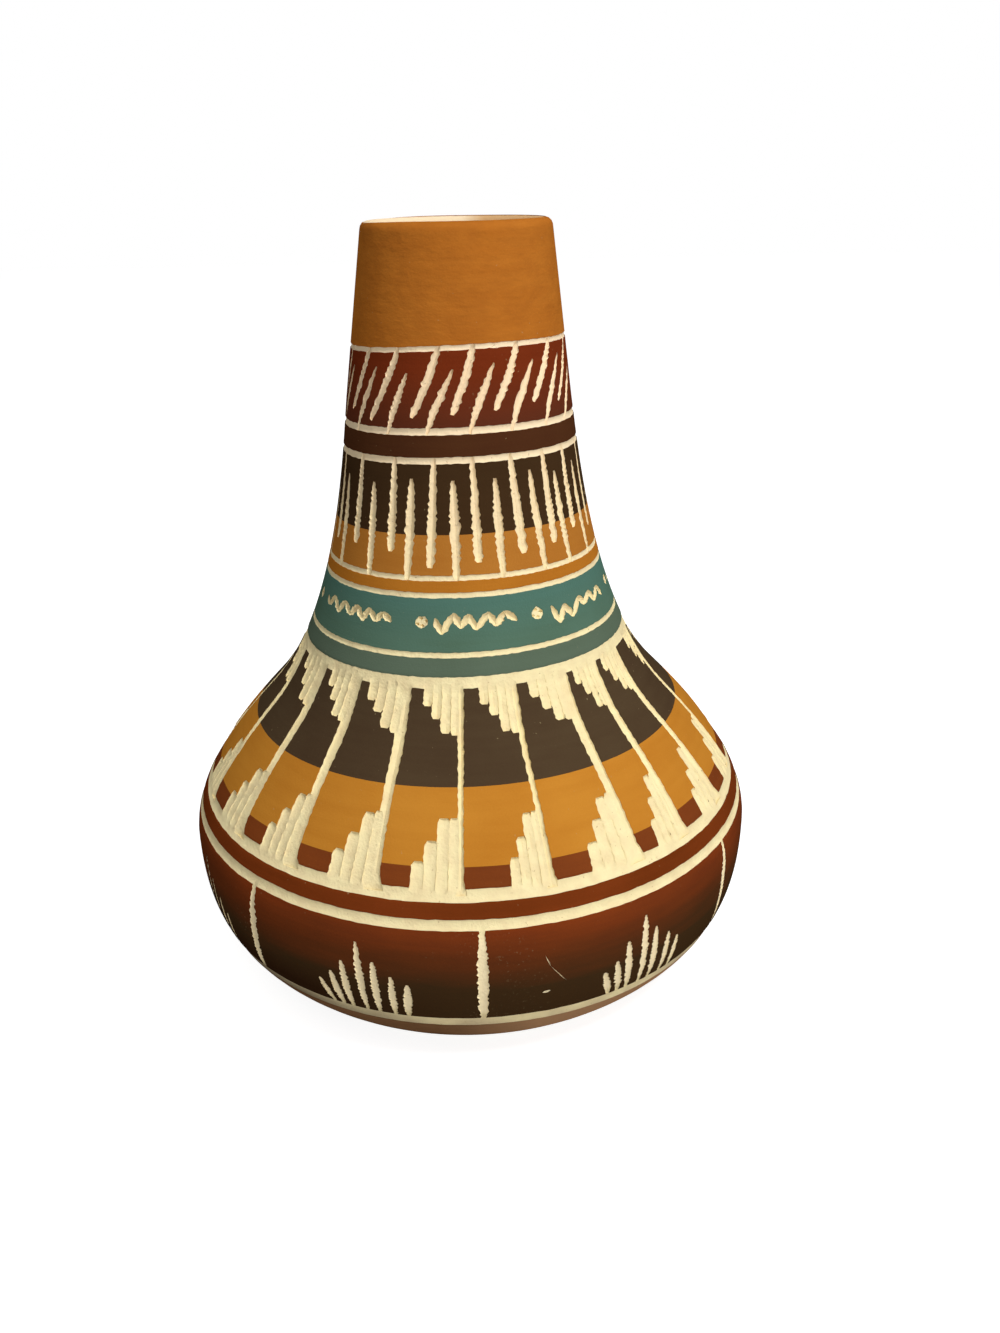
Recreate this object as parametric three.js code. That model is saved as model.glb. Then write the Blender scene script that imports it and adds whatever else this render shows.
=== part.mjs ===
// An etched pottery vase with a bulb body and a tapering neck.
// The clay is one fired piece. Bands of coloured slip lie on it as thin coats, and the bare rings
// between the coats are the etched lines, where the clay shows. A glaze lines the inside.
// Millimetres, +Z up, with the origin in the middle of the flat underside.

import * as THREE from 'three';

// Outline of the painted outer face: the radii and heights where its curve turns, the slope there
// in degrees, and the length of the curve's handles.
const HEIGHT = 203;
const FOOT_RADIUS = 61;
const FOOT_SLOPE = 38.5;
const FOOT_HANDLE = 19.8;
const BELLY_RADIUS = 80.5;
const BELLY_HEIGHT = 40.3;
const BELLY_HANDLE_BELOW = 20.3;
const BELLY_HANDLE_ABOVE = 14.4;
const SHOULDER_RADIUS = 54.85;
const SHOULDER_HEIGHT = 80.3;
const SHOULDER_SLOPE = 47.9;
const SHOULDER_HANDLE_BELOW = 5.9;
const SHOULDER_HANDLE_ABOVE = 24.9;
const NECK_RADIUS = 30.4;
const NECK_HEIGHT = 153;
const NECK_HANDLE = 17.8;
const MOUTH_RADIUS = 23.9;

// Thicknesses. WALL is the whole wall, with its coat outside and its glaze inside.
const WALL = 4.4;
const FLOOR = 6.4;
const COAT = 0.5;
const GLAZE = 0.5;
const CLEARANCE = 0.3;
const FLOOR_CORNER = 3.2;

// Heights of the painted bands, from the foot up. The neck's coat takes the rest.
const BARE_FOOT = 1.5;
const FOOT_BAND = 13.3;
const BELLY_BAND = 27.3;
const RED_RING = 3.7;
const RED_SHOULDER = 4.4;
const OCHRE_SHOULDER = 15.0;
const DARK_SHOULDER = 19.7;
const TEAL_RING = 4.3;
const TEAL_BAND = 12.8;
const OCHRE_RING = 2.8;
const OCHRE_COMB = 9.8;
const BLACK_COMB = 17.0;
const BROWN_RING = 5.3;
const RED_HATCH = 17.9;

// Heights of the etched lines, each named for the band that it tops.
const LINE_OVER_FOOT = 4.4;
const LINE_OVER_BELLY = 2.6;
const LINE_OVER_RED_RING = 2.8;
const LINE_OVER_SHOULDER = 2.7;
const LINE_OVER_TEAL_RING = 1.3;
const LINE_OVER_TEAL_BAND = 1.3;
const LINE_OVER_OCHRE_RING = 1.3;
const LINE_OVER_COMB = 1.6;
const LINE_OVER_BROWN_RING = 1.6;
const LINE_OVER_HATCH = 1.2;

// The neck's coat wraps the half-round lip through this turn, in degrees from straight out.
const LIP_COAT_TURN = 90;

// How finely the round shapes are cut into faces.
const SIDES = 48;
const OUTLINE_SAMPLES = 60;
const BAND_STEP = 9;
const LINING_STEP = 16;
const LIP_STEP = 30;

const radians = THREE.MathUtils.degToRad;
const point = (radius, height) => new THREE.Vector2(radius, height);
const heading = (slope) => point(Math.cos(radians(slope)), Math.sin(radians(slope)));

// One smooth stretch of the outline, which leaves its start and meets its end in given directions.
function stretch(start, leaving, handle, end, arriving, endHandle) {
  return new THREE.CubicBezierCurve(
    start,
    start.clone().addScaledVector(leaving, handle),
    end.clone().addScaledVector(arriving, -endHandle),
    end,
  );
}

// The outer face is three smooth stretches and a straight taper up to the mouth.
function outerFace() {
  const foot = point(FOOT_RADIUS, 0);
  const belly = point(BELLY_RADIUS, BELLY_HEIGHT);
  const shoulder = point(SHOULDER_RADIUS, SHOULDER_HEIGHT);
  const neck = point(NECK_RADIUS, NECK_HEIGHT);
  const mouth = point(MOUTH_RADIUS, HEIGHT);
  const up = point(0, 1);
  const inward = heading(180 - SHOULDER_SLOPE);
  const taper = mouth.clone().sub(neck).normalize();
  const path = new THREE.CurvePath();
  path.add(stretch(foot, heading(FOOT_SLOPE), FOOT_HANDLE, belly, up, BELLY_HANDLE_BELOW));
  path.add(stretch(belly, up, BELLY_HANDLE_ABOVE, shoulder, inward, SHOULDER_HANDLE_BELOW));
  path.add(stretch(shoulder, inward, SHOULDER_HANDLE_ABOVE, neck, taper, NECK_HANDLE));
  path.add(new THREE.LineCurve(neck, mouth));
  return path.getPoints(OUTLINE_SAMPLES);
}

const face = outerFace();

// The point of the outer face at a height, moved inward by a depth, square to the face.
function onFace(height, depth) {
  const above = Math.max(1, face.findIndex((place) => place.y >= height));
  const low = face[above - 1];
  const way = face[above].clone().sub(low);
  const place = low.clone().addScaledVector(way, (height - low.y) / way.y);
  way.normalize();
  return place.addScaledVector(point(-way.y, way.x), depth);
}

// Even steps from one value to another, both ends included, none longer than the step.
function steps(from, to, longest) {
  const count = Math.max(1, Math.ceil((to - from) / longest));
  return Array.from({ length: count + 1 }, (_, index) => from + ((to - from) * index) / count);
}

// The lip is half round and as thick as the wall. Turn 0 faces out and turn 180 faces in.
const LIP_RADIUS = WALL / 2;
const lipHeight = HEIGHT - LIP_RADIUS;
const lipCentre = point(onFace(lipHeight, 0).x - LIP_RADIUS, lipHeight);

function aroundLip(depth, lastTurn) {
  return steps(0, lastTurn, LIP_STEP).map((turn) =>
    lipCentre.clone().addScaledVector(heading(turn), LIP_RADIUS - depth),
  );
}

// The finishes: bare clay, the coloured slips and the glaze.
const CLAY = { color: 0xecdca4, roughness: 0.85 };
const CLEAR_GLAZE = { color: 0xf1deb4, roughness: 0.3 };
const TAN_SLIP = { color: 0x7a5636, roughness: 0.7 };
const BURNT_SLIP = { color: 0x4b2413, roughness: 0.4 };
const RED_SLIP = { color: 0x74341a, roughness: 0.55 };
const DEEP_RED_SLIP = { color: 0x5c2614, roughness: 0.6 };
const OCHRE_SLIP = { color: 0xb87428, roughness: 0.6 };
const DARK_SLIP = { color: 0x4c3c2d, roughness: 0.6 };
const BLACK_SLIP = { color: 0x3a2a1e, roughness: 0.6 };
const BROWN_SLIP = { color: 0x4a2a18, roughness: 0.6 };
const TEAL_SLIP = { color: 0x4c6e62, roughness: 0.6 };

// A solid of revolution about Z, from its outline.
function turned(name, places, finish) {
  const geometry = new THREE.LatheGeometry(places, SIDES);
  geometry.rotateX(Math.PI / 2);
  const mesh = new THREE.Mesh(geometry, new THREE.MeshStandardMaterial({ ...finish, metalness: 0 }));
  mesh.name = name;
  return mesh;
}

// A coat on the outer face between two heights: up the outside and back down behind it.
function coat(band) {
  const heights = steps(band.bottom, band.top, BAND_STEP);
  const outside = heights.map((height) => onFace(height, 0));
  const behind = heights.map((height) => onFace(height, COAT));
  if (band.wrapsLip) {
    outside.splice(-1, 1, ...aroundLip(0, LIP_COAT_TURN));
    behind.splice(-1, 1, ...aroundLip(COAT, LIP_COAT_TURN));
  }
  return turned(band.name, [...outside, ...behind.reverse(), outside[0]], band.finish);
}

// The painted bands from the foot up. A line of 0 is a painted edge, where two coats meet.
const bands = [
  { name: 'foot_coat', height: FOOT_BAND, line: LINE_OVER_FOOT, finish: TAN_SLIP },
  { name: 'belly_coat', height: BELLY_BAND, line: LINE_OVER_BELLY, finish: BURNT_SLIP },
  { name: 'red_ring_coat', height: RED_RING, line: LINE_OVER_RED_RING, finish: RED_SLIP },
  { name: 'red_shoulder_coat', height: RED_SHOULDER, line: 0, finish: RED_SLIP },
  { name: 'ochre_shoulder_coat', height: OCHRE_SHOULDER, line: 0, finish: OCHRE_SLIP },
  { name: 'dark_shoulder_coat', height: DARK_SHOULDER, line: LINE_OVER_SHOULDER, finish: DARK_SLIP },
  { name: 'teal_ring_coat', height: TEAL_RING, line: LINE_OVER_TEAL_RING, finish: TEAL_SLIP },
  { name: 'teal_band_coat', height: TEAL_BAND, line: LINE_OVER_TEAL_BAND, finish: TEAL_SLIP },
  { name: 'ochre_ring_coat', height: OCHRE_RING, line: LINE_OVER_OCHRE_RING, finish: OCHRE_SLIP },
  { name: 'ochre_comb_coat', height: OCHRE_COMB, line: 0, finish: OCHRE_SLIP },
  { name: 'black_comb_coat', height: BLACK_COMB, line: LINE_OVER_COMB, finish: BLACK_SLIP },
  { name: 'brown_ring_coat', height: BROWN_RING, line: LINE_OVER_BROWN_RING, finish: BROWN_SLIP },
  { name: 'red_hatch_coat', height: RED_HATCH, line: LINE_OVER_HATCH, finish: DEEP_RED_SLIP },
  { name: 'neck_coat', wrapsLip: true, finish: OCHRE_SLIP },
];

// The bands are stacked from the foot. Coats that meet at a painted edge keep the clearance there.
let level = BARE_FOOT;
for (const band of bands) {
  band.bottom = level;
  band.top = band.wrapsLip ? lipHeight : level + band.height;
  level = band.top + band.line;
}
for (const [index, band] of bands.entries()) {
  if (band.line === 0) {
    band.top -= CLEARANCE / 2;
    bands[index + 1].bottom += CLEARANCE / 2;
  }
}

// The clay's outer side lies behind every coat, and its foot is cut flat to stand on.
function clayOutside() {
  const depth = COAT + CLEARANCE;
  const flatRadius = FOOT_RADIUS - depth / Math.sin(radians(FOOT_SLOPE));
  const heights = bands.flatMap((band) => steps(band.bottom, band.top, BAND_STEP));
  heights.pop();
  return [point(0, 0), point(flatRadius, 0), ...heights.map((height) => onFace(height, depth))];
}

// One skin of the inside, from its middle on the floor up to the lip, a depth behind the outer face.
function lining(depth) {
  const rise = depth - (WALL - GLAZE - CLEARANCE);
  const heights = steps(FLOOR, lipHeight, LINING_STEP);
  const wall = heights.map((height) => onFace(height, depth));
  const floor = FLOOR + rise;
  const corner = point(wall[0].x - FLOOR_CORNER - rise, floor);
  return [point(0, floor), corner, ...wall];
}

// The clay vessel: outside, over the lip, and down inside to the floor.
function clayVessel() {
  const inside = lining(WALL - GLAZE - CLEARANCE).reverse();
  const places = [...clayOutside(), ...aroundLip(COAT + CLEARANCE, 180), ...inside.slice(1)];
  return turned('clay_vessel', places, CLAY);
}

// The glaze: a thin cup against the inside of the clay.
function innerGlaze() {
  const places = [...lining(WALL - GLAZE), ...lining(WALL).reverse()];
  return turned('inner_glaze', places, CLEAR_GLAZE);
}

const vase = new THREE.Group();
vase.name = 'etched_pottery_vase';
vase.add(clayVessel(), innerGlaze(), ...bands.map(coat));

export default vase;
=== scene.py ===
import bisect
import math
import random

import bpy
from mathutils import Matrix, Vector
from mathutils.geometry import interpolate_bezier


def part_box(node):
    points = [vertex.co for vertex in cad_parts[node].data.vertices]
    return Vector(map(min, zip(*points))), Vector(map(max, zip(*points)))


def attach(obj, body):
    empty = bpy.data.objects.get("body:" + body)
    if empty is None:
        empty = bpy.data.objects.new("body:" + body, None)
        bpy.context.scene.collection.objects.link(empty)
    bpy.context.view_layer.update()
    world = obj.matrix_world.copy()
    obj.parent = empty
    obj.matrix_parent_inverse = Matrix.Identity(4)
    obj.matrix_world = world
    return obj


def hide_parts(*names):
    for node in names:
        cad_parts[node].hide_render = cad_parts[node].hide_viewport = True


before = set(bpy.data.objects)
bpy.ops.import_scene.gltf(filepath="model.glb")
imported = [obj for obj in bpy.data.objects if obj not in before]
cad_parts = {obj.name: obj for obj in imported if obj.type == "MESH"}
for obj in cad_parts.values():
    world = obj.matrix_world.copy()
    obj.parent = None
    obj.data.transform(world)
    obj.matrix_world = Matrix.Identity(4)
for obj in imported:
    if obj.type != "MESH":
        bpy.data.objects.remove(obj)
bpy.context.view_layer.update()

MM = 0.001

# Camera
# It stands close to the vase and just above its rim, turned a little to the right and tipped down,
# as the photograph shows it.
CAMERA_AWAY = 311.9
CAMERA_UP = 212.7
CAMERA_YAW = 0.0301
CAMERA_TIP = 0.3985
CAMERA_ROLL = 0.0198
CAMERA_LENS = 31.54
CAMERA_NEAR = 0.01
bpy.ops.object.select_all(action="DESELECT")
bpy.ops.object.camera_add()
camera = bpy.context.object
camera.data.lens = CAMERA_LENS
camera.data.clip_start = CAMERA_NEAR
stand = Matrix.Translation(Vector((0, -CAMERA_AWAY, CAMERA_UP)) * MM)
turn_right = Matrix.Rotation(-CAMERA_YAW, 4, "Z")
tip_down = Matrix.Rotation(math.pi / 2 - CAMERA_TIP, 4, "X")
roll = Matrix.Rotation(-CAMERA_ROLL, 4, "Z")
camera.matrix_world = stand @ turn_right @ tip_down @ roll
bpy.context.scene.camera = camera

# Clay vessel
# One hollow pot of cream clay with a wall of about 4 mm, a flat foot and a half-round lip that is tan on
# its right. It is turned from its section, and its outer face starts smooth, because the slips and the
# etching come later. Its colour has painted light on the lower belly and painted shade on the left at
# the foot line.
HEIGHT = 203
FOOT_RADIUS = 61
FOOT_SLOPE = 38.5
FOOT_HANDLE = 19.8
BELLY_RADIUS = 80.5
BELLY_HEIGHT = 40.3
BELLY_HANDLE_BELOW = 20.3
BELLY_HANDLE_ABOVE = 14.4
SHOULDER_RADIUS = 54.85
SHOULDER_HEIGHT = 80.3
SHOULDER_SLOPE = 47.9
SHOULDER_HANDLE_BELOW = 5.9
SHOULDER_HANDLE_ABOVE = 24.9
NECK_RADIUS = 30.4
NECK_HEIGHT = 153
NECK_HANDLE = 17.8
MOUTH_RADIUS = 23.9
WALL = 4.4
FLOOR = 6.4
BARE_FOOT = 1.5
FOOT_BEVEL = 0.8
FLOOR_INSET = 0.4
INSIDE_CORNER = 2
CLAY_DEPTH = 0.16
GLAZE_DEPTH = 3.95
CLAY_SIDES = 144
CLAY_STEP = 2.8
LIP_STEP = 0.6
INSIDE_STEP = 8
OUTLINE_SAMPLES = 60
MERGE_WITHIN = 0.001 * MM


def heading(slope):
    return Vector((math.cos(math.radians(slope)), math.sin(math.radians(slope))))


def stretch(start, leaving, handle, end, arriving, end_handle):
    corners = start, start + leaving * handle, end - arriving * end_handle, end
    return interpolate_bezier(*[corner.to_3d() for corner in corners], OUTLINE_SAMPLES)


foot = Vector((FOOT_RADIUS, 0))
belly = Vector((BELLY_RADIUS, BELLY_HEIGHT))
shoulder = Vector((SHOULDER_RADIUS, SHOULDER_HEIGHT))
neck = Vector((NECK_RADIUS, NECK_HEIGHT))
mouth = Vector((MOUTH_RADIUS, HEIGHT))
upward = Vector((0, 1))
inward = heading(180 - SHOULDER_SLOPE)
taper = (mouth - neck).normalized()
outline = stretch(foot, heading(FOOT_SLOPE), FOOT_HANDLE, belly, upward, BELLY_HANDLE_BELOW)
outline += stretch(belly, upward, BELLY_HANDLE_ABOVE, shoulder, inward, SHOULDER_HANDLE_BELOW)[1:]
outline += stretch(shoulder, inward, SHOULDER_HANDLE_ABOVE, neck, taper, NECK_HANDLE)[1:]
outline = [place.to_2d() for place in outline] + [mouth]
outline_heights = [place.y for place in outline]
LIP_RADIUS = WALL / 2
LIP_HEIGHT = HEIGHT - LIP_RADIUS


def straight_face(height, depth):
    above = min(max(1, bisect.bisect_left(outline_heights, height)), len(outline) - 1)
    low = outline[above - 1]
    way = (outline[above] - low).normalized()
    place = low + way * (height - low.y) / way.y
    return place + Vector((-way.y, way.x)) * depth


def on_face(height, depth=0.0):
    """Radius and height of a point of the outer face, which runs on round the lip."""
    if height <= LIP_HEIGHT:
        return straight_face(height, depth)
    centre = Vector((straight_face(LIP_HEIGHT, 0).x - LIP_RADIUS, LIP_HEIGHT))
    turned_by = math.degrees((height - LIP_HEIGHT) / LIP_RADIUS)
    return centre + heading(turned_by) * (LIP_RADIUS - depth)


def steps(start, end, longest):
    count = max(1, math.ceil(abs(end - start) / longest))
    return [start + (end - start) * index / count for index in range(count + 1)]


def turned(name, section, sides):
    """A solid of revolution, spun from a loop of points laid along its section."""
    bpy.ops.object.select_all(action="DESELECT")
    bpy.ops.mesh.primitive_circle_add(vertices=len(section), fill_type="NOTHING")
    piece = bpy.context.object
    piece.name = name
    for vertex, place in zip(piece.data.vertices, section):
        vertex.co = Vector((place.x, 0, place.y)) * MM
    bpy.ops.object.mode_set(mode="EDIT")
    bpy.ops.mesh.select_all(action="SELECT")
    bpy.ops.mesh.spin(steps=sides, angle=math.tau, center=(0, 0, 0), axis=(0, 0, 1), use_auto_merge=True)
    bpy.ops.mesh.select_all(action="SELECT")
    bpy.ops.mesh.remove_doubles(threshold=MERGE_WITHIN)
    bpy.ops.mesh.delete_loose()
    bpy.ops.mesh.select_all(action="SELECT")
    bpy.ops.mesh.normals_make_consistent(inside=False)
    bpy.ops.object.mode_set(mode="OBJECT")
    return piece


foot_edge = Vector((FOOT_RADIUS - FOOT_BEVEL, 0))
floor_edge = Vector((FOOT_RADIUS - FLOOR_INSET, FLOOR))
inside_heights = steps(LIP_HEIGHT - INSIDE_CORNER, FLOOR + INSIDE_CORNER, INSIDE_STEP)
lip_turns = steps(0, math.pi * LIP_RADIUS, LIP_STEP)
clay_section = [Vector((0, 0)), foot_edge]
clay_section += [on_face(height, CLAY_DEPTH) for height in steps(BARE_FOOT, LIP_HEIGHT, CLAY_STEP)]
clay_section += [on_face(LIP_HEIGHT + way, CLAY_DEPTH) for way in lip_turns[1:]]
clay_section += [on_face(height, GLAZE_DEPTH) for height in inside_heights]
clay_section += [floor_edge, Vector((0, FLOOR))]
clay = turned("clay_pot", clay_section, CLAY_SIDES)


class Wire:
    """One output of a shader node. Arithmetic on wires adds Math nodes."""

    def __init__(self, finish, socket):
        self.finish = finish
        self.socket = socket

    def math(self, operation, first, second):
        return self.finish.node("ShaderNodeMath", {"operation": operation}, {0: first, 1: second})

    def __add__(self, other):
        return self.math("ADD", self, other)

    def __radd__(self, other):
        return self.math("ADD", other, self)

    def __sub__(self, other):
        return self.math("SUBTRACT", self, other)

    def __rsub__(self, other):
        return self.math("SUBTRACT", other, self)

    def __mul__(self, other):
        return self.math("MULTIPLY", self, other)

    def __rmul__(self, other):
        return self.math("MULTIPLY", other, self)


def colour(red, green, blue):
    """A colour as it looks, 0 to 255, turned into light for a shader."""
    shares = [part / 255 for part in (red, green, blue)]
    light = [pow((share + 0.055) / 1.055, 2.4) if share > 0.04 else share / 12.92 for share in shares]
    return (*light, 1)


class Finish:
    """One material. Every node in it comes from its node method."""

    def __init__(self, name, roughness, shine=0.0):
        self.material = bpy.data.materials.new(name)
        self.material.use_nodes = True
        self.tree = self.material.node_tree
        self.shader = self.tree.nodes["Principled BSDF"]
        self.shader.inputs["Roughness"].default_value = roughness
        self.shader.inputs["Specular IOR Level"].default_value = shine
        self.object_place = self.node("ShaderNodeTexCoord", {}, {}, "Object")
        self.height = self.node("ShaderNodeSeparateXYZ", {}, {0: self.object_place}, "Z") * (1 / MM)
        self.across = self.node("ShaderNodeSeparateXYZ", {}, {0: self.object_place}, "X") * (1 / MM)

    def node(self, kind, settings, values, output=0):
        node = self.tree.nodes.new(kind)
        for name, setting in settings.items():
            if name == "stops":
                stops = node.color_ramp.elements
                while len(stops) < len(setting):
                    stops.new(0.5)
                for stop, (place, shade) in zip(stops, setting):
                    stop.position = place
                    stop.color = shade
            else:
                setattr(node, name, setting)
        for name, value in values.items():
            if isinstance(value, Wire):
                self.tree.links.new(value.socket, node.inputs[name])
            else:
                node.inputs[name].default_value = value
        return Wire(self, node.outputs[output])

    def noise(self, scale, detail, squeeze=(1, 1, 1)):
        """Noise from 0 to 1 whose grains are about 1 / scale metres across, squeezed along the axes."""
        place = self.node("ShaderNodeMapping", {}, {0: self.object_place, 3: squeeze})
        return self.node("ShaderNodeTexNoise", {}, {"Vector": place, "Scale": scale, "Detail": detail})

    def spread(self, value, low, high):
        """A value stretched so that low becomes 0 and high becomes 1, and no further."""
        limits = {0: value, 1: low, 2: high, 3: 0.0, 4: 1.0}
        return self.node("ShaderNodeMapRange", {"clamp": True}, limits)

    def mix(self, share, first, second):
        return self.node("ShaderNodeMix", {"data_type": "RGBA"}, {0: share, 6: first, 7: second}, 2)

    def dress(self, piece, shade, relief, depth, roughness=None):
        """The colour, the relief in metres of depth, and any varying roughness go on a piece."""
        self.tree.links.new(shade.socket, self.shader.inputs["Base Color"])
        if roughness:
            self.tree.links.new(roughness.socket, self.shader.inputs["Roughness"])
        bump = self.node("ShaderNodeBump", {}, {"Height": relief, "Distance": depth, "Strength": 1.0})
        self.tree.links.new(bump.socket, self.shader.inputs["Normal"])
        piece.data.materials.clear()
        piece.data.materials.append(self.material)


# Noises are given as their scale and detail, ranges as what becomes 0 and 1, and shares as how much
# of a colour shows. Heights and places across, right of the middle, are in millimetres.
CLAY_COLOUR = colour(245, 229, 178)
CLAY_CRUMBS = 1600, 3
CLAY_LUMPS = 800, 2
CLAY_RELIEF = 0.13 * MM
CLAY_DUSTY = colour(236, 216, 167)
DUSTY_PATCHES = 260, 2
DUSTY_RANGE = 0.35, 0.7
CLAY_SPECK = colour(160, 120, 70)
SPECKS = 1100, 2
SPECK_RANGE = 0.71, 0.75
SPECK_SHARE = 0.5
CLAY_ROSY = colour(250, 224, 190)
ROSY_HEIGHTS = 105, 160
ROSY_SHARE = 0.8
# Painted light: a paler cream painted on the etched clay of the lower belly, from the foot line up to
# about 46 mm, so that it looks more brightly lit.
CLAY_PAINTED_LIGHT = colour(255, 236, 192)
PAINTED_LIGHT_HEIGHTS = 46, 43
PAINTED_LIGHT_END = 21.5, 20
# The top of the lip is tan on its right, from 2 mm right of the middle.
LIP_RIGHT_TAN = colour(215, 172, 122)
LIP_TAN_HEIGHTS = 199, 200
LIP_TAN_ACROSS = 2, 8
# A darker greyish colour in patches on the clay below about 21 mm, at the foot line.
CLAY_FOOT_LINE_DARK = colour(196, 175, 139)
FOOT_LINE_HEIGHTS = 21, 16
FOOT_LINE_PATCHES = 90, 4
FOOT_PATCH_RANGE = 0.3, 0.65
FOOT_PATCH_SHARE = 0.8
# Painted shade: the clay at the foot line is painted darker on its left, from 5 mm to 45 mm left of the
# middle, where the light falls off.
CLAY_LEFT_SHADE = colour(137, 122, 97)
LEFT_SHADE_ACROSS = -5, -45
LEFT_SHADE_SHARE = 0.95
clay_finish = Finish("cream_clay", 0.9)
crumbs = clay_finish.noise(*CLAY_CRUMBS) + clay_finish.noise(*CLAY_LUMPS)
patches = clay_finish.noise(*DUSTY_PATCHES)
specks = clay_finish.spread(clay_finish.noise(*SPECKS), *SPECK_RANGE)
clay_tone = clay_finish.mix(clay_finish.spread(patches, *DUSTY_RANGE), CLAY_COLOUR, CLAY_DUSTY)
rosy = clay_finish.spread(clay_finish.height, *ROSY_HEIGHTS)
clay_tone = clay_finish.mix(rosy * ROSY_SHARE, clay_tone, CLAY_ROSY)
# Painted light on the etched clay of the lower belly.
painted_light_band = clay_finish.spread(clay_finish.height, *PAINTED_LIGHT_HEIGHTS)
above_foot = 1 - clay_finish.spread(clay_finish.height, *PAINTED_LIGHT_END)
clay_tone = clay_finish.mix(painted_light_band * above_foot, clay_tone, CLAY_PAINTED_LIGHT)
# Tan on the top of the lip, on its right.
on_lip = clay_finish.spread(clay_finish.height, *LIP_TAN_HEIGHTS)
on_right = clay_finish.spread(clay_finish.across, *LIP_TAN_ACROSS)
clay_tone = clay_finish.mix(on_lip * on_right, clay_tone, LIP_RIGHT_TAN)
# Darker greyish patches on the clay at the foot line.
at_foot_line = clay_finish.spread(clay_finish.height, *FOOT_LINE_HEIGHTS)
foot_line_patches = clay_finish.spread(clay_finish.noise(*FOOT_LINE_PATCHES), *FOOT_PATCH_RANGE)
clay_tone = clay_finish.mix(at_foot_line * foot_line_patches * FOOT_PATCH_SHARE, clay_tone, CLAY_FOOT_LINE_DARK)
# Painted shade on the left of the clay at the foot line.
left_shaded = clay_finish.spread(clay_finish.across, *LEFT_SHADE_ACROSS)
clay_tone = clay_finish.mix(at_foot_line * left_shaded * LEFT_SHADE_SHARE, clay_tone, CLAY_LEFT_SHADE)
clay_tone = clay_finish.mix(specks * SPECK_SHARE, clay_tone, CLAY_SPECK)
clay_finish.dress(clay, clay_tone, crumbs, CLAY_RELIEF)
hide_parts("clay_vessel")
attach(clay, "root")

# Inner glaze
# A clear sealing coat over the clay inside, from below the lip down to the floor, poured in and
# drained, so that it is smooth and a little glossy.
GLAZE_STEP = 4
GLAZE_GAP = 0.05
GLAZE_END = 1.4
GLAZE_THICKNESS = 0.5
glaze_heights = steps(FLOOR + INSIDE_CORNER, LIP_HEIGHT - GLAZE_END, GLAZE_STEP)
glaze_section = [Vector((0, FLOOR + GLAZE_GAP)), floor_edge + Vector((-GLAZE_THICKNESS, GLAZE_GAP))]
glaze_section += [on_face(height, GLAZE_DEPTH + GLAZE_GAP) for height in glaze_heights]
glaze_section += [on_face(height, WALL) for height in reversed(glaze_heights)]
glaze_section += [
    floor_edge + Vector((-2 * GLAZE_THICKNESS, GLAZE_THICKNESS)), Vector((0, FLOOR + GLAZE_THICKNESS))]
glaze = turned("inside_glaze", glaze_section, CLAY_SIDES)
GLAZE_COLOUR = colour(238, 219, 172)
GLAZE_POOL = colour(214, 188, 132)
GLAZE_RUNS = 60, 3, (1, 1, 0.25)
RUN_RANGE = 0.4, 0.75
GLAZE_WAVES = 300, 2
GLAZE_RELIEF = 0.05 * MM
glaze_finish = Finish("inside_glaze", 0.3, 0.5)
runs = glaze_finish.spread(glaze_finish.noise(*GLAZE_RUNS), *RUN_RANGE)
glaze_tone = glaze_finish.mix(runs, GLAZE_COLOUR, GLAZE_POOL)
glaze_finish.dress(glaze, glaze_tone, glaze_finish.noise(*GLAZE_WAVES), GLAZE_RELIEF)
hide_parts("inner_glaze")
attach(glaze, "root")

# Slip coats
# Each band of colour is a thin coat of slip sprayed on the turning pot and fired. It is made as a
# straight thin tube and pressed onto the face of the pot. The upper bands sit a touch askew, higher
# on the right, and their front bows up a little, as they do on the real pot.
SLIP = 0.12
SLIP_SIDES = 360
SLIP_STEP = 2.0
TUBE = 100.0
SIDE_TILT = [(0, 0), (55, 0), (100, 0.016), (155, 0.018), (175, 0.03)]
BOW = [(0, 0), (60, 0), (100, 0.3), (117, 0.45), (155, 0.45), (175, 0.6)]
LEVEL_BOW = 0.6


def along(shape, share):
    """The value of a shape, a list of places and values, at a place along it."""
    for (start, low), (end, high) in zip(shape, shape[1:]):
        if share <= end:
            return low + (high - low) * (share - start) / (end - start)
    return shape[-1][1]


def on_vase(turn, height, out):
    """The point at a turn from the front in radians, a height, and a distance out of the face."""
    level = height + along(SIDE_TILT, height) * on_face(height).x * math.sin(turn)
    level += along(BOW, height) * (math.cos(2 * turn) - LEVEL_BOW)
    place = on_face(level, -out)
    return Vector((place.x * math.sin(turn), -place.x * math.cos(turn), place.y)) * MM


def press(piece):
    """Presses a piece made on a straight tube about Z onto the face of the pot."""
    for vertex in piece.data.vertices:
        across, behind, height = vertex.co / MM
        out = math.hypot(across, behind) - TUBE
        vertex.co = on_vase(math.atan2(across, -behind), height, out)


def select_uprights(piece):
    """Selects the edges that run along Z, in edit mode."""
    bpy.ops.object.mode_set(mode="EDIT")
    bpy.ops.mesh.select_mode(type="EDGE")
    bpy.ops.mesh.select_all(action="DESELECT")
    bpy.ops.object.mode_set(mode="OBJECT")
    for edge in piece.data.edges:
        ends = [piece.data.vertices[index].co.z for index in edge.vertices]
        edge.select = ends[0] != ends[1]
    bpy.ops.object.mode_set(mode="EDIT")


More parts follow.
